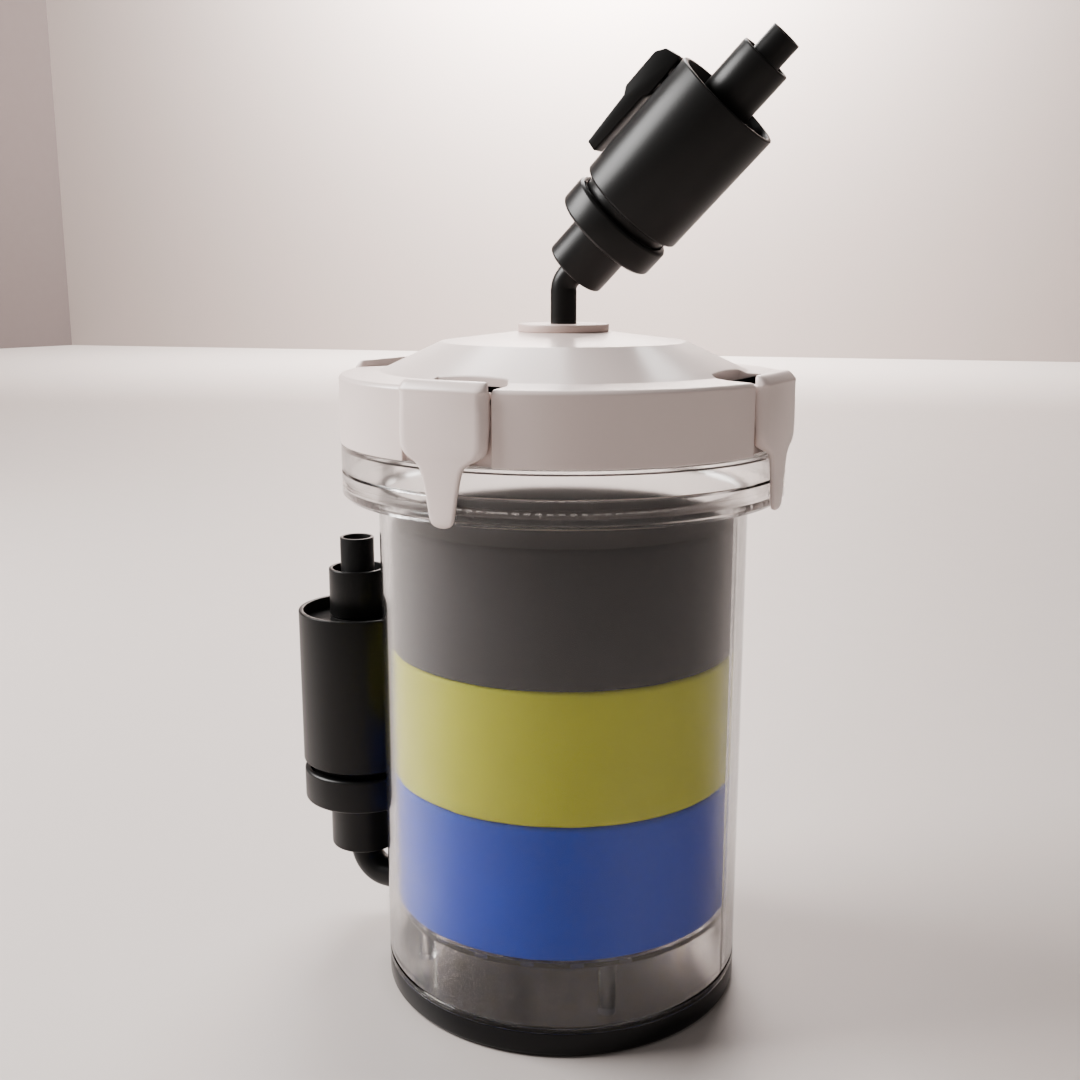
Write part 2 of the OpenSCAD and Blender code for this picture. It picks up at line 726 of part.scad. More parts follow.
module inlet_elbow() {
    module run(r, extra, reach) {
        translate([0, 0, port_z + inlet_bend_r])
            cylinder(r = r, h = h_neck + cover_face_t - port_z - inlet_bend_r + extra);
        translate([inlet_bend_r, 0, port_z + inlet_bend_r]) rotate([90, 0, 0]) rotate([0, 0, 180])
            rotate_extrude(angle = 90) translate([inlet_bend_r, 0]) circle(r = r);
        translate([inlet_bend_r, 0, port_z]) rotate([0, 90, 0])
            cylinder(r = r, h = reach - inlet_bend_r);
    }
    color([0.13, 0.13, 0.13]) on_inlet() difference() {
        union() {
            run(inlet_elbow_r, 0, spigot_x);
            translate([spigot_x, 0, port_z]) rotate([0, 90, 0]) cylinder(r = spigot_r, h = spigot_len);
        }
        run(spigot_bore, eps, spigot_x + spigot_len + 1);
        translate([circlip_x, 0, port_z]) rotate([0, 90, 0]) tube(spigot_r + 1, circlip_in, 0, circlip_t);
    }
}

module elbow_circlip() {
    color("silver") on_inlet() translate([circlip_x, 0, port_z]) rotate([0, 90, 0]) difference() {
        tube(spigot_r + 1.2, circlip_in, 0, circlip_t);
        translate([-8, -1.5, -1]) cube([8, 3, 3]);
    }
}

module inlet_cover() {
    color([0.13, 0.13, 0.13]) on_inlet() neck_cover(inlet_neck_r, inlet_neck_out - slip_fit, inlet_elbow_r,
        inlet_neck_r - 2.2, h_neck, h_flange, h_flange_top);
}

module inlet_gasket() {
    color([0.2, 0.2, 0.2]) on_inlet()
        tube(inlet_neck_out - slip_fit, inlet_neck_in, h_flange_top, h_gasket_top);
}

module inlet_shell() {
    color([0.13, 0.13, 0.13]) on_inlet() shell(inlet_r, inlet_in, inlet_neck_out, inlet_neck_in,
        h_gasket_top, h_body, h_end, h_gasket_top + 0.6, 2);
}

module valve_seat() {
    color([0.3, 0.3, 0.32]) on_inlet() rotate_extrude() polygon([
        [seat_hole, h_seat], [seat_hole + 2, h_seat], [seat_hole + 2, h_seat + 0.6],
        [inlet_neck_in, h_seat + 0.6], [inlet_neck_in, h_seat + seat_t], [seat_hole, h_seat + seat_t]]);
}

module valve_guide() {
    guide_out = inlet_neck_r - 2.2;
    color([0.3, 0.3, 0.32]) on_inlet() {
        tube(poppet_stem_r + 1.4, poppet_stem_r + run_fit, h_guide, h_guide + guide_t + 1.5);
        tube(guide_out, guide_out - 1, h_guide, h_guide + guide_t);
        around(3) translate([poppet_stem_r + 1, -0.7, h_guide])
            cube([guide_out - poppet_stem_r - 1.6, 1.4, guide_t]);
    }
}

module check_poppet() {
    color([0.9, 0.9, 0.85]) on_inlet() {
        disc(poppet_r, h_poppet, h_poppet + poppet_t);
        disc(poppet_stem_r, h_guide + 0.4, h_poppet + eps);
    }
}

module poppet_seal() {
    color([0.15, 0.15, 0.15]) on_inlet()
        tube(seat_hole + 1.9, seat_hole + 0.1, h_poppet + poppet_t, h_poppet + poppet_t + 0.85);
}

// A round wire wound from the guide up to the poppet
module poppet_spring() {
    base = h_guide + guide_t + spring_wire + 0.1;
    rise = h_poppet - base - spring_wire - 0.1;
    steps = 16 * spring_turns;
    sides = 6;
    points = [for (i = [0:steps]) let (a = 360 * spring_turns * i / steps)
        for (k = [0:sides - 1]) let (b = 360 * k / sides)
            [(spring_r + spring_wire * cos(b)) * cos(a), (spring_r + spring_wire * cos(b)) * sin(a),
                base + rise * i / steps + spring_wire * sin(b)]];
    walls = [for (i = [0:steps - 1]) for (k = [0:sides - 1]) let (n = (k + 1) % sides)
        [i * sides + k, (i + 1) * sides + k, (i + 1) * sides + n, i * sides + n]];
    ends = [[for (k = [0:sides - 1]) k], [for (k = [sides - 1:-1:0]) steps * sides + k]];
    color("silver") on_inlet() polyhedron(points, concat(walls, ends), convexity = 8);
}

module strainer_basket() {
    basket_r = inlet_in - 4;
    wall = 1.4;
    low = h_body + 2.8;
    high = h_floor - 3;
    color([0.35, 0.37, 0.36]) on_inlet() difference() {
        union() {
            tube(basket_r, basket_r - wall, low, high);
            disc(basket_r, low, low + wall);
            tube(inlet_in - slip_fit, basket_r - wall, high - 1.6, high);
        }
        for (row = [0:3]) around(6, 30 * (row % 2)) translate([basket_r - 4, 0, low + 8 + row * 8])
            rotate([0, 90, 0]) cylinder(r = 2.2, h = 8);
    }
}

module inlet_top_cover() {
    boss_s = h_end - 2.6;
    color([0.13, 0.13, 0.13]) on_inlet() difference() {
        union() {
            disc(inlet_in, h_floor, h_floor + 2);
            disc(inlet_nut_r, h_floor, boss_s);
            disc(inlet_thread_r, boss_s - eps, h_thread_end);
        }
        disc(inlet_tail_r - tail_wall, h_floor - 1, h_thread_end + 1);
        disc(inlet_tail_r + root_step, boss_s + 1, h_thread_end + 1);
    }
}

module inlet_hose_tail() {
    color([0.13, 0.13, 0.13]) on_inlet()
        hose_tail(inlet_tail_r, tail_wall, inlet_tail_r + root_step, h_end - 1.6, h_thread_end, h_tail_end);
}

module inlet_hose_nut() {
    color([0.13, 0.13, 0.13]) on_inlet()
        hose_nut(inlet_nut_r, inlet_thread_r + slip_fit, h_end - 2.3, h_nut_end);
}

module inlet_lock_ring() {
    color([0.13, 0.13, 0.13]) on_inlet() lock_ring(inlet_ring_r, h_ring, h_ring_end, inlet_neck_r + slip_fit,
        inlet_neck_out + slip_fit, 2, h_gasket_top + 0.3, 2.8);
}

base_foot();
barrel();
collar();
pad_support();
blue_sponge();
yellow_sponge();
black_sponge();
lid();
lid_seal();
clip_pins();
outlet_bush();
outlet_locknut();
outlet_seal();
inlet_grommet();
clip_front();
clip_right();
clip_back();
clip_left();
outlet_elbow();
impeller_cover();
cover_gasket();
pump_shell();
motor_can();
motor_can_cap();
stator_core();
stator_coils();
motor_shaft();
shaft_bush_front();
shaft_bush_rear();
cable_gland();
outlet_cover();
ball_seats();
outlet_hose_tail();
impeller();
rotor_magnet();
tap_lever();
tap_stem();
tap_ball();
lever_screw();
pump_lock_ring();
outlet_hose_nut();
inlet_elbow();
elbow_circlip();
inlet_cover();
inlet_gasket();
inlet_shell();
strainer_basket();
valve_seat();
valve_guide();
inlet_top_cover();
inlet_hose_tail();
check_poppet();
poppet_seal();
poppet_spring();
inlet_lock_ring();
inlet_hose_nut();
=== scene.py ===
"""Looks for a canister filter: softened mouldings, foam pads, clear plastic and a pale room whose side wall is
painted dark as shade.
"""
import json
import math

import bpy
from mathutils import Matrix, Vector

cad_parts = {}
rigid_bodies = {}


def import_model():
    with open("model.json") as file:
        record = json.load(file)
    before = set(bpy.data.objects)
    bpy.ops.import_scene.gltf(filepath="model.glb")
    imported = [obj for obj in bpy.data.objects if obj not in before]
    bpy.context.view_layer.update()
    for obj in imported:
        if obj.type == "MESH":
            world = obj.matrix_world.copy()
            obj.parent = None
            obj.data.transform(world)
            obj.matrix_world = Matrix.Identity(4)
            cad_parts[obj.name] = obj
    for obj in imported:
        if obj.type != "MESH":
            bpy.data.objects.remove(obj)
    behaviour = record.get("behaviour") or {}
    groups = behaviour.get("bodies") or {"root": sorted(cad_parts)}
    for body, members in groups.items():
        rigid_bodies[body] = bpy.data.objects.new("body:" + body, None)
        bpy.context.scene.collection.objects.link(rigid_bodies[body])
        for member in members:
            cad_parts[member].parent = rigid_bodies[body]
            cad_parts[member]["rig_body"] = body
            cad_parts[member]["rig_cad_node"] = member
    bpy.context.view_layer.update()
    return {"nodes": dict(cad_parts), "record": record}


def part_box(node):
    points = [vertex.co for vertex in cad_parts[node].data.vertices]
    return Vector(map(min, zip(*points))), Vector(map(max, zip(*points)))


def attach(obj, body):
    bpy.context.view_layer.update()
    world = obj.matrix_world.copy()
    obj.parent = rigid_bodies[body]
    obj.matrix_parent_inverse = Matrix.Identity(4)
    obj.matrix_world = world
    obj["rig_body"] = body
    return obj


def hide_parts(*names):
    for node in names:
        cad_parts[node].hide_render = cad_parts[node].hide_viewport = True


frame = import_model()

bl_info = {
    "name": "Canister Filter Looks",
    "version": (1, 0, 0),
    "blender": (4, 5, 0),
    "location": "3D View > Sidebar > Canister Filter",
    "description": "Builds the visible pieces, finishes and stage of a canister filter round its fixed frame",
    "category": "Object",
}

MM = 0.001
CLIPS = ("front", "right", "back", "left")
PADS = ("blue", "yellow", "black")


# ---- Modelling steps shared by the pieces ----

def clear_selection():
    """Leaves edit mode and deselects everything."""
    if bpy.context.object and bpy.context.object.mode != "OBJECT":
        bpy.ops.object.mode_set(mode="OBJECT")
    bpy.ops.object.select_all(action="DESELECT")


def pick(obj):
    """Makes obj the only selected object and the active one."""
    clear_selection()
    obj.select_set(True)
    bpy.context.view_layer.objects.active = obj


def choose(obj, kind, test):
    """Selects the vertices, edges or faces of obj whose middle passes the test, then enters edit mode."""
    bpy.ops.object.mode_set(mode="EDIT")
    bpy.ops.mesh.select_mode(type=kind)
    bpy.ops.mesh.select_all(action="DESELECT")
    bpy.ops.object.mode_set(mode="OBJECT")
    mesh = obj.data
    if kind == "FACE":
        for face in mesh.polygons:
            face.select = test(face.center, face.normal)
    elif kind == "EDGE":
        for edge in mesh.edges:
            a, b = (mesh.vertices[i].co for i in edge.vertices)
            edge.select = test((a + b) / 2, (b - a).normalized())
    else:
        for vertex in mesh.vertices:
            vertex.select = test(vertex.co, vertex.normal)
    bpy.ops.object.mode_set(mode="EDIT")


def whole(obj):
    """Enters edit mode with all of obj selected."""
    bpy.ops.object.mode_set(mode="EDIT")
    bpy.ops.mesh.select_mode(type="VERT")
    bpy.ops.mesh.select_all(action="SELECT")


def closed(obj):
    """Welds the seam of a turned or lofted shell and points its faces outwards."""
    whole(obj)
    bpy.ops.mesh.remove_doubles(threshold=1e-6)
    bpy.ops.mesh.normals_make_consistent(inside=False)
    bpy.ops.object.mode_set(mode="OBJECT")


def single_point(name, start):
    """A new mesh object with one vertex."""
    clear_selection()
    bpy.ops.mesh.primitive_plane_add(size=0.002)
    obj = bpy.context.object
    obj.name = obj.data.name = name
    whole(obj)
    bpy.ops.mesh.merge(type="CENTER")
    bpy.ops.transform.translate(value=start)
    return obj


def drawn(name, points):
    """A closed wire through the points, drawn by extruding one vertex from each point to the next."""
    points = [Vector(p) for p in points]
    obj = single_point(name, points[0])
    for a, b in zip(points, points[1:] + points[:1]):
        bpy.ops.mesh.extrude_region_move(TRANSFORM_OT_translate={"value": b - a})
    bpy.ops.mesh.select_all(action="SELECT")
    bpy.ops.mesh.remove_doubles(threshold=1e-6)
    return obj


def turned(name, outline, steps):
    """A solid turned round Z from a closed outline of (radius, height) points."""
    obj = drawn(name, [(r, 0, z) for r, z in outline])
    bpy.ops.mesh.select_all(action="SELECT")
    bpy.ops.mesh.spin(steps=steps, angle=2 * math.pi, center=(0, 0, 0), axis=(0, 0, 1))
    closed(obj)
    return obj


def plate(name, points, depth):
    """A flat outline filled and extruded by the depth vector."""
    obj = drawn(name, points)
    bpy.ops.mesh.edge_face_add()
    bpy.ops.mesh.extrude_region_move(TRANSFORM_OT_translate={"value": depth})
    closed(obj)
    return obj


def settle(obj, matrix=None):
    """Puts obj's place into its mesh, so that the object itself sits at the origin."""
    pick(obj)
    if matrix is not None:
        obj.matrix_world = matrix @ obj.matrix_world
    bpy.ops.object.transform_apply(location=True, rotation=True, scale=True)


def apply_all(obj):
    """Applies obj's modifiers in order."""
    pick(obj)
    for name in [m.name for m in obj.modifiers]:
        bpy.ops.object.modifier_apply(modifier=name)


def cut(obj, cutters):
    """Cuts each cutter out of obj, then removes the cutters."""
    for cutter in cutters:
        step = obj.modifiers.new("Cut", "BOOLEAN")
        step.operation, step.solver, step.object = "DIFFERENCE", "EXACT", cutter
    apply_all(obj)
    for cutter in cutters:
        bpy.data.objects.remove(cutter)


def rounded(obj, width, segments, angle=35):
    """Rounds the edges that turn by more than the angle, and smooths what lies between them."""
    step = obj.modifiers.new("Round", "BEVEL")
    step.width, step.segments, step.limit_method = width, segments, "ANGLE"
    step.angle_limit, step.use_clamp_overlap = math.radians(angle), False
    apply_all(obj)
    bpy.ops.object.shade_smooth_by_angle(angle=math.radians(angle))


def finish_piece(obj, body, material):
    """Gives a piece its finish and the body that it moves with."""
    obj.data.materials.clear()
    obj.data.materials.append(material)
    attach(obj, body)


def old(name):
    """Removes a piece left from an earlier run of its operator."""
    found = bpy.data.objects.get(name)
    if found:
        bpy.data.objects.remove(found)


# ---- Shader groups ----

def group(name, inputs, outputs):
    """A new shader node group with float or colour sockets."""
    tree = bpy.data.node_groups.new(name, "ShaderNodeTree")
    for label, value in inputs:
        kind = "NodeSocketColor" if isinstance(value, tuple) else "NodeSocketFloat"
        socket = tree.interface.new_socket(label, in_out="INPUT", socket_type=kind)
        socket.default_value = value
    for label, kind in outputs:
        tree.interface.new_socket(label, in_out="OUTPUT", socket_type=kind)
    return tree, tree.nodes.new("NodeGroupInput"), tree.nodes.new("NodeGroupOutput")


def node(tree, kind, **settings):
    """A new node with its properties and unlinked inputs set."""
    made = tree.nodes.new(kind)
    for key, value in settings.items():
        if hasattr(made, key) and key not in made.inputs:
            setattr(made, key, value)
        else:
            made.inputs[key].default_value = value
    return made


def moulded_grain():
    """Soft mottling and fine spark-eroded texture, as on a moulding."""
    known = bpy.data.node_groups.get("Moulded Grain")
    if known:
        return known
    tree, into, out = group("Moulded Grain", [("Color", (0.5, 0.5, 0.5, 1.0)), ("Mottle", 0.08), ("Grain Scale", 1500.0),
                            ("Roughness", 0.4), ("Roughness Change", 0.06)],
                            [("Color", "NodeSocketColor"), ("Roughness", "NodeSocketFloat"), ("Height", "NodeSocketFloat")])
    link = tree.links.new
    place = node(tree, "ShaderNodeTexCoord")
    broad = node(tree, "ShaderNodeTexNoise", Scale=38.0, Detail=3.0, Roughness=0.55)
    fine = node(tree, "ShaderNodeTexNoise", Detail=2.0, Roughness=0.5)
    link(place.outputs["Object"], broad.inputs["Vector"])
    link(place.outputs["Object"], fine.inputs["Vector"])
    link(into.outputs["Grain Scale"], fine.inputs["Scale"])
    swing = node(tree, "ShaderNodeMath", operation="MULTIPLY_ADD")
    link(broad.outputs["Fac"], swing.inputs[0])
    link(into.outputs["Mottle"], swing.inputs[1])
    half = node(tree, "ShaderNodeMath", operation="MULTIPLY_ADD")
    half.inputs[1].default_value, half.inputs[2].default_value = -0.5, 1.0
    link(into.outputs["Mottle"], half.inputs[0])
    link(half.outputs[0], swing.inputs[2])
    tint = node(tree, "ShaderNodeVectorMath", operation="SCALE")
    link(into.outputs["Color"], tint.inputs[0])
    link(swing.outputs[0], tint.inputs["Scale"])
    link(tint.outputs[0], out.inputs["Color"])
    rough = node(tree, "ShaderNodeMath", operation="MULTIPLY_ADD")
    centred = node(tree, "ShaderNodeMath", operation="SUBTRACT")
    centred.inputs[1].default_value = 0.5
    link(broad.outputs["Fac"], centred.inputs[0])
    link(centred.outputs[0], rough.inputs[0])
    link(into.outputs["Roughness Change"], rough.inputs[1])
    link(into.outputs["Roughness"], rough.inputs[2])
    link(rough.outputs[0], out.inputs["Roughness"])
    link(fine.outputs["Fac"], out.inputs["Height"])
    return tree


def foam_cells():
    """Open foam: dark pores between lighter struts, with broad variation from pad to pad."""
    known = bpy.data.node_groups.get("Foam Cells")
    if known:
        return known
    tree, into, out = group("Foam Cells", [("Color", (0.5, 0.5, 0.5, 1.0)), ("Pore Color", (0.1, 0.1, 0.1, 1.0)),
                            ("Cell Scale", 700.0), ("Pore Amount", 0.5)],
                            [("Color", "NodeSocketColor"), ("Height", "NodeSocketFloat")])
    link = tree.links.new
    place = node(tree, "ShaderNodeTexCoord")
    cells = node(tree, "ShaderNodeTexVoronoi", feature="DISTANCE_TO_EDGE")
    broad = node(tree, "ShaderNodeTexNoise", Scale=30.0, Detail=3.0, Roughness=0.6)
    link(place.outputs["Object"], cells.inputs["Vector"])
    link(place.outputs["Object"], broad.inputs["Vector"])
    link(into.outputs["Cell Scale"], cells.inputs["Scale"])
    strut = node(tree, "ShaderNodeMapRange", clamp=True)
    strut.inputs["From Min"].default_value, strut.inputs["From Max"].default_value = 0.04, 0.3
    link(cells.outputs["Distance"], strut.inputs["Value"])
    pores = node(tree, "ShaderNodeMath", operation="MULTIPLY")
    link(strut.outputs["Result"], pores.inputs[0])
    link(into.outputs["Pore Amount"], pores.inputs[1])
    mix = node(tree, "ShaderNodeMix", data_type="RGBA")
    link(pores.outputs[0], mix.inputs["Factor"])
    link(into.outputs["Color"], mix.inputs[6])
    link(into.outputs["Pore Color"], mix.inputs[7])
    swing = node(tree, "ShaderNodeMapRange")
    swing.inputs["To Min"].default_value, swing.inputs["To Max"].default_value = 0.9, 1.1
    link(broad.outputs["Fac"], swing.inputs["Value"])
    tint = node(tree, "ShaderNodeVectorMath", operation="SCALE")
    link(mix.outputs[2], tint.inputs[0])
    link(swing.outputs["Result"], tint.inputs["Scale"])
    link(tint.outputs[0], out.inputs["Color"])
    flip = node(tree, "ShaderNodeMath", operation="SUBTRACT")
    flip.inputs[0].default_value = 1.0
    link(strut.outputs["Result"], flip.inputs[1])
    link(flip.outputs[0], out.inputs["Height"])
    return tree


def new_material(name):
    """A fresh material with only its output and a Principled shader."""
    known = bpy.data.materials.get(name)
    if known:
        bpy.data.materials.remove(known)
    material = bpy.data.materials.new(name)
    material.use_nodes = True
    return material, material.node_tree, material.node_tree.nodes["Principled BSDF"]


def moulding(name, colour, roughness, mottle=0.06, grain=1500.0, bump=0.03, metallic=0.0, coat=0.0, specular=0.5):
    """Moulded or rolled stock with the shared grain."""
    material, tree, shader = new_material(name)
    grained = node(tree, "ShaderNodeGroup")
    grained.node_tree = moulded_grain()
    for label, value in (("Color", (*colour, 1.0)), ("Mottle", mottle), ("Grain Scale", grain),
                         ("Roughness", roughness), ("Roughness Change", 0.25 * roughness)):
        grained.inputs[label].default_value = value
    raised = node(tree, "ShaderNodeBump", Strength=bump, Distance=0.0002)
    link = tree.links.new
    link(grained.outputs["Color"], shader.inputs["Base Color"])
    link(grained.outputs["Roughness"], shader.inputs["Roughness"])
    link(grained.outputs["Height"], raised.inputs["Height"])
    link(raised.outputs["Normal"], shader.inputs["Normal"])
    shader.inputs["Metallic"].default_value = metallic
    shader.inputs["Coat Weight"].default_value = coat
    shader.inputs["Coat Roughness"].default_value = 0.15
    shader.inputs["Specular IOR Level"].default_value = specular
    return material


def foam(name, colour, pore, scale):
    """Reticulated filter foam."""
    material, tree, shader = new_material(name)
    cells = node(tree, "ShaderNodeGroup")
    cells.node_tree = foam_cells()
    cells.inputs["Color"].default_value = (*colour, 1.0)
    cells.inputs["Pore Color"].default_value = (*pore, 1.0)
    cells.inputs["Cell Scale"].default_value = scale
    cells.inputs["Pore Amount"].default_value = 0.16
    raised = node(tree, "ShaderNodeBump", Strength=0.08, Distance=0.0002)
    link = tree.links.new
    link(cells.outputs["Color"], shader.inputs["Base Color"])
    link(cells.outputs["Height"], raised.inputs["Height"])
    link(raised.outputs["Normal"], shader.inputs["Normal"])
    shader.inputs["Roughness"].default_value = 0.92
    shader.inputs["Specular IOR Level"].default_value = 0.15
    shader.inputs["Sheen Weight"].default_value = 0.15
    shader.inputs["Sheen Roughness"].default_value = 0.6
    return material


def clear(name, colour, roughness, mottle=0.02):
    """Clear moulded plastic with a faint haze."""
    material, tree, shader = new_material(name)
    grained = node(tree, "ShaderNodeGroup")
    grained.node_tree = moulded_grain()
    for label, value in (("Color", (*colour, 1.0)), ("Mottle", mottle), ("Grain Scale", 260.0),
                         ("Roughness", roughness), ("Roughness Change", 0.02)):
        grained.inputs[label].default_value = value
    raised = node(tree, "ShaderNodeBump", Strength=0.01, Distance=0.0001)
    link = tree.links.new
    link(grained.outputs["Color"], shader.inputs["Base Color"])
    link(grained.outputs["Roughness"], shader.inputs["Roughness"])
    link(grained.outputs["Height"], raised.inputs["Height"])
    link(raised.outputs["Normal"], shader.inputs["Normal"])
    shader.inputs["Transmission Weight"].default_value = 1.0
    shader.inputs["IOR"].default_value = 1.46
    return material


def laminated(name):
    """Stacked steel sheets, shown as grey metal with mottling and a fine grain."""
    return moulding(name, (0.42, 0.42, 0.44), 0.45, mottle=0.2, grain=900.0, bump=0.1, metallic=0.85)


# ---- Settings ----

class FilterColours(bpy.types.PropertyGroup):
    """Colours and gloss of the filter's materials."""
    lid: bpy.props.FloatVectorProperty(name="Lid", description="Colour of the lid and clips", subtype="COLOR",
                                       size=3, min=0, max=1, default=(0.82, 0.715, 0.68))
    boss: bpy.props.FloatVectorProperty(name="Boss", description="Colour of the outlet bush on the lid", subtype="COLOR",
                                        size=3, min=0, max=1, default=(0.68, 0.54, 0.495))
    black: bpy.props.FloatVectorProperty(name="Black mouldings", description="Colour of the pump and inlet connector",
                                         subtype="COLOR", size=3, min=0, max=1, default=(0.0135, 0.0132, 0.013))
    foot: bpy.props.FloatVectorProperty(name="Foot", description="Colour of the rubber foot", subtype="COLOR",
                                        size=3, min=0, max=1, default=(0.009, 0.009, 0.0098))
    blue: bpy.props.FloatVectorProperty(name="Blue pad", description="Colour of the blue foam", subtype="COLOR",
                                        size=3, min=0, max=1, default=(0.028, 0.12, 0.85))
    yellow: bpy.props.FloatVectorProperty(name="Yellow pad", description="Colour of the yellow foam", subtype="COLOR",
                                          size=3, min=0, max=1, default=(0.86, 0.88, 0.09))
    coal: bpy.props.FloatVectorProperty(name="Black pad", description="Colour of the black foam", subtype="COLOR",
                                        size=3, min=0, max=1, default=(0.088, 0.087, 0.09))
    clear: bpy.props.FloatVectorProperty(name="Clear plastic", description="Tint of the barrel and collar", subtype="COLOR",
                                         size=3, min=0, max=1, default=(0.97, 0.965, 0.96))
    haze: bpy.props.FloatProperty(name="Haze", description="Roughness of the clear plastic", subtype="FACTOR",
                                  min=0, max=0.15, default=0.09)


class FilterSizes(bpy.types.PropertyGroup):
    """Sizes that the looks add to the frame."""
    clip_round: bpy.props.FloatProperty(name="Clip rounding", description="Radius along the clips' edges",
                                        unit="LENGTH", min=0.0004, max=0.002, default=0.0013)
    lid_round: bpy.props.FloatProperty(name="Lid rounding", description="Radius along the lid's edges",
                                       unit="LENGTH", min=0.0001, max=0.001, default=0.00045)
    pad_round: bpy.props.FloatProperty(name="Pad rounding", description="Radius of the pads' cut edges",
                                       unit="LENGTH", min=0.0005, max=0.004, default=0.0016)
    pad_rough: bpy.props.FloatProperty(name="Pad unevenness", description="How far the foam's faces wander",
                                       unit="LENGTH", min=0, max=0.001, default=0.0005)
    lever_round: bpy.props.FloatProperty(name="Lever rounding", description="Radius along the tap lever's edges",
                                         unit="LENGTH", min=0.0001, max=0.001, default=0.0005)


class FilterStage(bpy.types.PropertyGroup):
    """Camera, room and light."""
    lens: bpy.props.FloatProperty(name="Lens", description="Focal length on a 36 mm sensor, in millimetres",
                                  min=10, max=200, default=41.931)
    distance: bpy.props.FloatProperty(name="Distance", description="Level distance from the camera to the barrel's axis",
                                      unit="LENGTH", min=0.1, max=5, default=0.42423)
    height: bpy.props.FloatProperty(name="Height", description="Height of the camera", unit="LENGTH",
                                    min=0, max=2, default=0.2465)
    bearing: bpy.props.FloatProperty(name="Bearing", description="Direction of the camera, round from the front clip",
                                     subtype="ANGLE", default=math.radians(27.65))
    pitch: bpy.props.FloatProperty(name="Pitch", description="How far the camera looks down", subtype="ANGLE",
                                   default=0.20718)
    yaw: bpy.props.FloatProperty(name="Yaw", description="How far the camera looks to the side of the axis",
                                 subtype="ANGLE", default=-0.018407)
    key: bpy.props.FloatProperty(name="Key light", description="Power of the large soft light, in watts",
                                 min=0, max=1000, default=32)
    wall: bpy.props.FloatProperty(name="Wall distance", description="Distance from the barrel's axis to the far wall",
                                  unit="LENGTH", min=1, max=20, default=3.705)


# ---- Foam pads ----

def make_pad(colour, material, sizes):
    name, cad = f"foam_pad_{colour}", f"{colour}_sponge"
    old(name)
    low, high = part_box(cad)
    clear_selection()
    bpy.ops.mesh.primitive_cylinder_add(vertices=128, radius=high.x - 0.0003, depth=high.z - low.z,
                                        location=(0, 0, (low.z + high.z) / 2), end_fill_type="NGON")
    pad = bpy.context.object
    pad.name = pad.data.name = name
    settle(pad)
    choose(pad, "FACE", lambda c, n: abs(n.z) > 0.9)
    for step in (0.003, 0.006, 0.012, 0.016, 0.012):
        bpy.ops.mesh.inset(thickness=step)
    bpy.ops.object.mode_set(mode="OBJECT")
    whole(pad)
    for i in range(1, 12):
        bpy.ops.mesh.select_all(action="SELECT")
        bpy.ops.mesh.bisect(plane_co=(0, 0, low.z + (high.z - low.z) * i / 12), plane_no=(0, 0, 1))
    bpy.ops.object.mode_set(mode="OBJECT")
    rounded(pad, sizes.pad_round, 4, angle=50)
    uneven = bpy.data.textures.get("Foam Unevenness") or bpy.data.textures.new("Foam Unevenness", "CLOUDS")
    uneven.noise_scale = 0.012
    step = pad.modifiers.new("Uneven", "DISPLACE")
    step.texture, step.strength, step.mid_level, step.texture_coords = uneven, sizes.pad_rough, 0.62, "LOCAL"
    apply_all(pad)
    choose(pad, "VERT", lambda c, n: c.z < low.z)
    bpy.ops.transform.resize(value=(1, 1, 0), center_override=(0, 0, low.z))
    choose(pad, "VERT", lambda c, n: c.z > high.z)
    bpy.ops.transform.resize(value=(1, 1, 0), center_override=(0, 0, high.z))
    bpy.ops.object.mode_set(mode="OBJECT")
    bpy.ops.object.shade_smooth()
    finish_piece(pad, "canister", material)
    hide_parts(cad)


class FILTER_OT_pads(bpy.types.Operator):
    """Makes the three foam pads"""
    bl_idname = "filter_looks.pads"
    bl_label = "Foam Pads"

    def execute(self, context):
        c, sizes = context.scene.filter_colours, context.scene.filter_sizes
        pores = {"blue": (0.012, 0.04, 0.33), "yellow": (0.4, 0.37, 0.01), "black": (0.012, 0.011, 0.011)}
        tints = {"blue": c.blue, "yellow": c.yellow, "black": c.coal}
        for colour in PADS:
            make_pad(colour, foam(f"{colour.title()} Foam", tuple(tints[colour]), pores[colour], 1500.0), sizes)
        return {"FINISHED"}


# ---- Clips ----

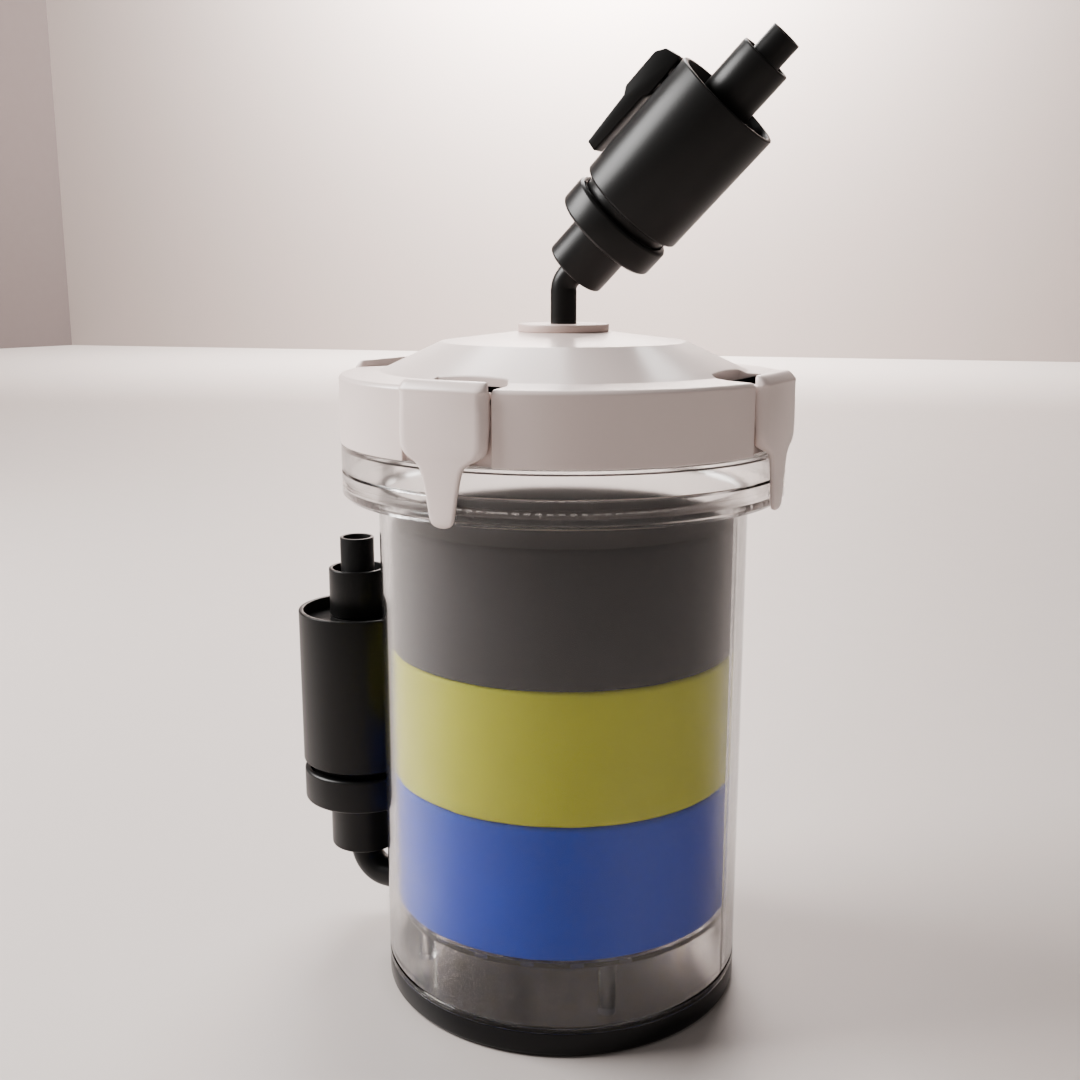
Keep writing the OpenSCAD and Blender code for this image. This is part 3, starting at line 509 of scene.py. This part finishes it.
def make_clip(side, sizes, material):
    """One clip, lofted up from its finger's tip as on the +X side, then turned to its side."""
    name = f"moulded_clip_{side}"
    old(name)
    low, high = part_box("clip_right")
    lid_low, lid_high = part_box("lid")
    half = (high.y - low.y) / 2
    face, tip, top = high.x, low.z, high.z
    skirt = lid_low.z
    back = face - 4.8 * MM
    hook = face - 1.75 * MM
    knuckle = 2.9 * MM
    pin = Vector((low.x + knuckle, 0, top - 5.8 * MM))
    stations = [
        (tip + 0.0 * MM, hook + 0.3 * MM, face - 0.7 * MM, 1.2 * MM), (tip + 0.5 * MM, hook, face - 0.45 * MM, 2.7 * MM),
        (tip + 1.3 * MM, hook, face - 0.35 * MM, 3.6 * MM), (tip + 2.6 * MM, hook, face - 0.3 * MM, 4.15 * MM),
        (tip + 4.4 * MM, hook, face - 0.3 * MM, 4.5 * MM), (skirt - 9 * MM, hook, face - 0.25 * MM, 5.3 * MM),
        (skirt - 4 * MM, hook, face - 0.15 * MM, 6.35 * MM), (skirt - 1.4 * MM, hook, face - 0.08 * MM, 7.1 * MM),
        (skirt - 0.1 * MM, hook, face, 7.9 * MM), (skirt + 1.0 * MM, hook - 0.6 * MM, face, 9.3 * MM),
        (skirt + 1.9 * MM, hook - 1.8 * MM, face, 11.3 * MM), (skirt + 2.9 * MM, back, face, 12.9 * MM),
        (skirt + 4.2 * MM, back, face, 13.9 * MM), (skirt + 5.9 * MM, back, face, 14.4 * MM),
        (skirt + 8.5 * MM, back, face, half)]
    for angle in (-68, -45, -22, 0, 22, 45, 68):
        turn = math.radians(angle)
        stations.append((pin.z + knuckle * math.sin(turn), pin.x - knuckle * math.cos(turn), face, half))
    stations += [
        (pin.z + 2.9 * MM, back, face, half), (top - 2.5 * MM, back, face - 0.15 * MM, half),
        (top - 2.0 * MM, back, face - 0.5 * MM, half - 0.04 * MM), (top - 1.0 * MM, back, face - 1.4 * MM, half - 0.25 * MM),
        (top - 0.4 * MM, back + 0.05 * MM, face - 2.1 * MM, half - 0.6 * MM), (top - 0.1 * MM, back + 0.2 * MM, face - 2.7 * MM, half - 1.0 * MM),
        (top, back + 0.45 * MM, face - 3.2 * MM, half - 1.4 * MM)]
    clear_selection()
    bpy.ops.mesh.primitive_plane_add(size=1)
    clip = bpy.context.object
    clip.name = clip.data.name = name
    z, x0, x1, w = stations[0]
    clip.scale, clip.location = (x1 - x0, 2 * w, 1), ((x0 + x1) / 2, 0, z)
    settle(clip)
    choose(clip, "VERT", lambda c, n: True)
    bpy.ops.mesh.bevel(offset=0.33 * (x1 - x0), segments=3, affect="VERTICES", clamp_overlap=True)
    bpy.ops.mesh.select_mode(type="FACE")
    bpy.ops.mesh.select_all(action="SELECT")
    for (za, a0, a1, wa), (zb, b0, b1, wb) in zip(stations, stations[1:]):
        shift = Vector(((b0 + b1 - a0 - a1) / 2, 0, zb - za))
        bpy.ops.mesh.extrude_region_move(TRANSFORM_OT_translate={"value": shift})
        bpy.ops.transform.resize(value=((b1 - b0) / (a1 - a0), wb / wa, 1), center_override=((b0 + b1) / 2, 0, zb))
    closed(clip)
    rounded(clip, 0.25 * MM, 2, angle=50)
    turn = {"right": 0, "back": 90, "left": 180, "front": -90}[side]
    settle(clip, Matrix.Rotation(math.radians(turn), 4, "Z"))
    pick(clip)
    bpy.ops.object.shade_smooth_by_angle(angle=math.radians(40))
    finish_piece(clip, f"{side}_clip", material)
    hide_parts(f"clip_{side}")


# ---- Mouldings with rounded edges ----

SOFTENED = {
    "outlet_bush": 0.35, "base_foot": 0.5, "tap_lever": 0.45, "impeller_cover": 0.3,
    "pump_lock_ring": 0.3, "pump_shell": 0.2, "outlet_cover": 0.2, "outlet_hose_nut": 0.22, "outlet_hose_tail": 0.2,
    "cable_gland": 0.25, "inlet_cover": 0.35, "inlet_lock_ring": 0.35, "inlet_shell": 0.25, "inlet_top_cover": 0.25,
    "inlet_hose_nut": 0.28, "inlet_hose_tail": 0.22,
}


def soften(cad, radius, material, body):
    """A copy of a frame part, welded, cleared of its flat faces' inner edges and rounded along its corners."""
    name = f"soft_{cad}"
    old(name)
    clear_selection()
    source = frame["nodes"][cad]
    source.select_set(True)
    bpy.context.view_layer.objects.active = source
    bpy.ops.object.duplicate()
    piece = bpy.context.object
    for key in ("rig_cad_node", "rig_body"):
        del piece[key]
    piece.parent = None
    piece.name = piece.data.name = name
    whole(piece)
    bpy.ops.mesh.customdata_custom_splitnormals_clear()
    bpy.ops.mesh.remove_doubles(threshold=2e-6)
    bpy.ops.mesh.dissolve_limited(angle_limit=math.radians(0.6))
    bpy.ops.object.mode_set(mode="OBJECT")
    step = piece.modifiers.new("Round", "BEVEL")
    step.width, step.segments, step.limit_method = radius * MM, 2, "ANGLE"
    step.angle_limit, step.use_clamp_overlap = math.radians(32), False
    apply_all(piece)
    bpy.ops.object.shade_smooth_by_angle(angle=math.radians(32))
    finish_piece(piece, body, material)
    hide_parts(cad)


class FILTER_OT_mouldings(bpy.types.Operator):
    """Rounds the edges of the outlet bush, the foot and the black mouldings"""
    bl_idname = "filter_looks.mouldings"
    bl_label = "Rounded Mouldings"

    def execute(self, context):
        bodies = {n: b for b, members in frame["record"]["behaviour"]["bodies"].items() for n in members}
        for cad, radius in SOFTENED.items():
            material = frame["nodes"][cad].data.materials[0]
            soften(cad, radius, material, bodies[cad])
        return {"FINISHED"}


def make_lid(sizes, material):
    """The lid: a turned shell with a hinge pocket and a recess for each clip."""
    old("moulded_lid")
    low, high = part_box("lid")
    clip_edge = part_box("clip_right")[1]
    edge, skirt, crown = clip_edge.x - 1.9 * MM, low.z, high.z
    rim = crown - 13.2 * MM
    dome = rim + 0.7 * MM
    knee = crown - 3.1 * MM
    wall = 2.6 * MM
    land = low.z + 14.2 * MM - 0.3 * MM
    dome_r, knee_r, boss_r, bush_r = 61.1 * MM, 40.9 * MM, 15.1 * MM, 8.2 * MM
    shelf, shelf_z = dome_r - 3.4 * MM, rim - 4.2 * MM
    pocket, pocket_z = edge - 11.1 * MM, rim - 7 * MM
    half = clip_edge.y + 0.6 * MM
    skirt_in = 69.6 * MM
    lid = turned("moulded_lid", [
        (bush_r, crown - wall), (boss_r, crown - wall), (knee_r - 1 * MM, knee - wall),
        (shelf - 2 * MM, dome - 0.7 * MM), (shelf - 2 * MM, shelf_z - 2 * MM), (pocket - 2.3 * MM, shelf_z - 2 * MM),
        (pocket - 2.3 * MM, land), (skirt_in, land), (skirt_in, skirt), (edge, skirt), (edge, rim - 1 * MM),
        (edge - 1 * MM, rim), (dome_r, dome), (knee_r, knee), (boss_r, crown), (bush_r, crown)], 192)
    cutters = []
    for quarter in range(4):
        turn = Matrix.Rotation(quarter * math.pi / 2, 4, "Z")
        for x, z, depth in ((pocket, pocket_z, 0.05), (edge - 3.2 * MM, skirt - 1 * MM, 0.05)):
            cutters.append(plate("cutter", [(x, -half, z), (x + 0.02, -half, z), (x + 0.02, half, z), (x, half, z)],
                                 (0, 0, depth)))
            settle(cutters[-1], turn)
        cutters.append(plate("cutter", [(shelf, 3 * MM - half, shelf_z), (pocket + 1 * MM, -half, shelf_z),
                                        (pocket + 1 * MM, half, shelf_z), (shelf, half - 3 * MM, shelf_z)], (0, 0, 0.04)))
        settle(cutters[-1], turn)
    cut(lid, cutters)
    whole(lid)
    bpy.ops.mesh.dissolve_limited(angle_limit=math.radians(0.3))
    bpy.ops.mesh.select_all(action="SELECT")
    bpy.ops.mesh.remove_doubles(threshold=0.12 * MM)
    bpy.ops.object.mode_set(mode="OBJECT")
    rounded(lid, sizes.lid_round, 3, angle=10)
    bpy.ops.object.shade_smooth()
    step = lid.modifiers.new("Flat Faces", "WEIGHTED_NORMAL")
    step.keep_sharp = False
    apply_all(lid)
    finish_piece(lid, "canister", material)
    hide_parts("lid")


class FILTER_OT_lid(bpy.types.Operator):
    """Makes the lid"""
    bl_idname = "filter_looks.lid"
    bl_label = "Lid"

    def execute(self, context):
        make_lid(context.scene.filter_sizes, frame["nodes"]["lid"].data.materials[0])
        return {"FINISHED"}


class FILTER_OT_clips(bpy.types.Operator):
    """Makes the four lid clips"""
    bl_idname = "filter_looks.clips"
    bl_label = "Lid Clips"

    def execute(self, context):
        c = context.scene.filter_colours
        material = moulding("White Moulding", tuple(c.lid), 0.3, mottle=0.03, bump=0.05, coat=0.1)
        for side in CLIPS:
            make_clip(side, context.scene.filter_sizes, material)
        return {"FINISHED"}


# ---- Finishes of the frame's own parts ----

class FILTER_OT_finishes(bpy.types.Operator):
    """Gives every part of the frame but the foam pads its material"""
    bl_idname = "filter_looks.finishes"
    bl_label = "Frame Finishes"

    def execute(self, context):
        c = context.scene.filter_colours
        by_slot = {
            "foot": moulding("Foot Rubber", tuple(c.foot), 0.2, mottle=0.1, bump=0.02, specular=0.35),
            "clear_barrel": clear("Clear Plastic", tuple(c.clear), c.haze),
            "clear_support": clear("Clear Support", tuple(c.clear), c.haze),
            "white_moulding": moulding("White Lid", tuple(c.lid), 0.3, mottle=0.03, bump=0.05, coat=0.1),
            "boss_moulding": moulding("Boss Moulding", tuple(c.boss), 0.4, mottle=0.05, bump=0.05),
            "seal_rubber": moulding("Seal Rubber", (0.02, 0.02, 0.02), 0.6, mottle=0.1, bump=0.1),
            "pin_steel": moulding("Oxidised Pin", (0.1, 0.095, 0.09), 0.42, mottle=0.05, bump=0.03, metallic=1.0),
            "black_moulding": moulding("Black Moulding", tuple(c.black), 0.36, mottle=0.12, bump=0.06, specular=0.32),
            "inner_moulding": moulding("Inner Moulding", (0.05, 0.055, 0.06), 0.5, mottle=0.1, bump=0.06),
            "core_steel": laminated("Laminated Steel"),
            "coil_copper": moulding("Copper Winding", (0.55, 0.22, 0.09), 0.35, mottle=0.3, grain=2500.0, bump=0.3, metallic=0.9),
            "shaft_ceramic": moulding("Ceramic Shaft", (0.78, 0.78, 0.76), 0.2, mottle=0.03),
            "seat_white": moulding("White Bearing Plastic", (0.78, 0.78, 0.74), 0.4, mottle=0.04),
            "magnet": moulding("Ferrite", (0.05, 0.05, 0.055), 0.5, mottle=0.2, bump=0.1),
        }
        foams = {"blue_foam", "yellow_foam", "black_foam"}
        for part in frame["record"]["subparts"]:
            shown = frame["nodes"][part["node"]]
            if part["material_slot"] in foams:
                continue
            shown.data.materials.clear()
            shown.data.materials.append(by_slot[part["material_slot"]])
        return {"FINISHED"}


# ---- Stage ----

def softbox(name, place, target, size, power, colour=(1, 1, 1)):
    old(name)
    lamp = bpy.data.lights.new(name, "AREA")
    lamp.shape, lamp.size, lamp.size_y, lamp.energy, lamp.color = "RECTANGLE", size[0], size[1], power, colour
    obj = bpy.data.objects.new(name, lamp)
    bpy.context.scene.collection.objects.link(obj)
    obj.location = place
    obj.rotation_mode = "QUATERNION"
    obj.rotation_quaternion = (Vector(target) - Vector(place)).to_track_quat("-Z", "Y")
    return obj


def panel(name, size, matrix, material):
    """A subdivided flat panel of the room."""
    old(name)
    clear_selection()
    bpy.ops.mesh.primitive_grid_add(x_subdivisions=4, y_subdivisions=4, size=1)
    obj = bpy.context.object
    obj.name = obj.data.name = name
    obj.scale = (size[0], size[1], 1)
    settle(obj)
    settle(obj, matrix)
    obj.data.materials.append(material)
    return obj


class FILTER_OT_stage(bpy.types.Operator):
    """Sets the camera, the pale floor and far wall, a side wall painted dark as shade, and the soft lights"""
    bl_idname = "filter_looks.stage"
    bl_label = "Stage"

    def execute(self, context):
        s = context.scene.filter_stage
        turn = Matrix.Rotation(s.bearing, 4, "Z")
        floor = moulding("Pale Floor", (0.58, 0.53, 0.505), 0.5, mottle=0.01, grain=400.0, bump=0.01)
        wall = moulding("Pale Wall", (0.42, 0.362, 0.338), 0.8, mottle=0.01, grain=400.0, bump=0.01)
        # The side wall has the far wall's colour darkened about threefold: painted shade for a wall turned away from
        # the light.
        side_wall_painted_shade = moulding("Side Wall Painted Shade", (0.14, 0.112, 0.106), 0.8, mottle=0.01, grain=400.0, bump=0.01)
        panel("stage_floor", (16, 16), Matrix.Identity(4), floor)
        upright = Matrix.Rotation(math.pi / 2, 4, "X")
        far = turn @ Matrix.Translation((-0.08, s.wall, 4)) @ Matrix.Rotation(math.radians(-14.66), 4, "Z")
        panel("stage_wall", (16, 8), far @ upright, wall)
        beside = turn @ Matrix.Translation((-2.64, s.wall - 0.77, 4)) @ Matrix.Rotation(math.radians(54.7), 4, "Z")
        panel("stage_side_wall", (3, 8), beside @ upright, side_wall_painted_shade)
        softbox("Key", turn @ Vector((-1.1, 0.1, 0.95)), (0, 0, 0.15), (0.8, 0.8), s.key, (1, 0.985, 0.975))
        softbox("Overhead", turn @ Vector((0.0, 2.2, 2.3)), turn @ Vector((-0.1, 1.9, 0.0)), (1.8, 1.2), 72, (1, 0.975, 0.96))
        softbox("Wall Glow", turn @ Vector((0.0, s.wall - 0.7, 1.8)), turn @ Vector((0.05, s.wall, 1.4)), (1.0, 0.3), 200, (1, 0.98, 0.965))
        world = context.scene.world or bpy.data.worlds.new("Soft Room")
        context.scene.world = world
        world.use_nodes = True
        back = world.node_tree.nodes["Background"]
        back.inputs["Color"].default_value = (1.0, 0.96, 0.945, 1.0)
        back.inputs["Strength"].default_value = 0.26
        eye = bpy.data.cameras.new("Camera")
        eye.lens, eye.sensor_width, eye.clip_start, eye.clip_end = s.lens, 36, 0.01, 50
        old("Camera")
        camera = bpy.data.objects.new("Camera", eye)
        context.scene.collection.objects.link(camera)
        camera.location = turn @ Vector((0, -s.distance, s.height))
        ahead = turn.to_3x3() @ Vector((math.sin(s.yaw) * math.cos(s.pitch), math.cos(s.yaw) * math.cos(s.pitch), -math.sin(s.pitch)))
        camera.rotation_mode = "QUATERNION"
        camera.rotation_quaternion = ahead.to_track_quat("-Z", "Y")
        context.scene.camera = camera
        context.scene.view_settings.look = "AgX - Medium High Contrast"
        return {"FINISHED"}


class FILTER_PT_looks(bpy.types.Panel):
    """Lists the filter's pieces and settings"""
    bl_label = "Canister Filter"
    bl_idname = "FILTER_PT_looks"
    bl_space_type = "VIEW_3D"
    bl_region_type = "UI"
    bl_category = "Canister Filter"

    def draw(self, context):
        layout, scene = self.layout, context.scene
        for step in OPERATORS:
            layout.operator(step.bl_idname)
        for settings in (scene.filter_sizes, scene.filter_colours, scene.filter_stage):
            box = layout.box()
            for key in settings.bl_rna.properties.keys():
                if key not in {"rna_type", "name"}:
                    box.prop(settings, key)


OPERATORS = (FILTER_OT_finishes, FILTER_OT_pads, FILTER_OT_mouldings, FILTER_OT_lid, FILTER_OT_clips, FILTER_OT_stage)
SETTINGS = (("filter_sizes", FilterSizes), ("filter_colours", FilterColours), ("filter_stage", FilterStage))


def register():
    for kind in [k for _, k in SETTINGS] + list(OPERATORS) + [FILTER_PT_looks]:
        bpy.utils.register_class(kind)
    for name, kind in SETTINGS:
        setattr(bpy.types.Scene, name, bpy.props.PointerProperty(type=kind))


def unregister():
    for name, _ in SETTINGS:
        delattr(bpy.types.Scene, name)
    for kind in [FILTER_PT_looks] + list(reversed(OPERATORS)) + [k for _, k in reversed(SETTINGS)]:
        bpy.utils.unregister_class(kind)


def main():
    register()
    bpy.ops.filter_looks.finishes()
    bpy.ops.filter_looks.pads()
    bpy.ops.filter_looks.mouldings()
    bpy.ops.filter_looks.lid()
    bpy.ops.filter_looks.clips()
    bpy.ops.filter_looks.stage()


if __name__ == "__main__":
    main()
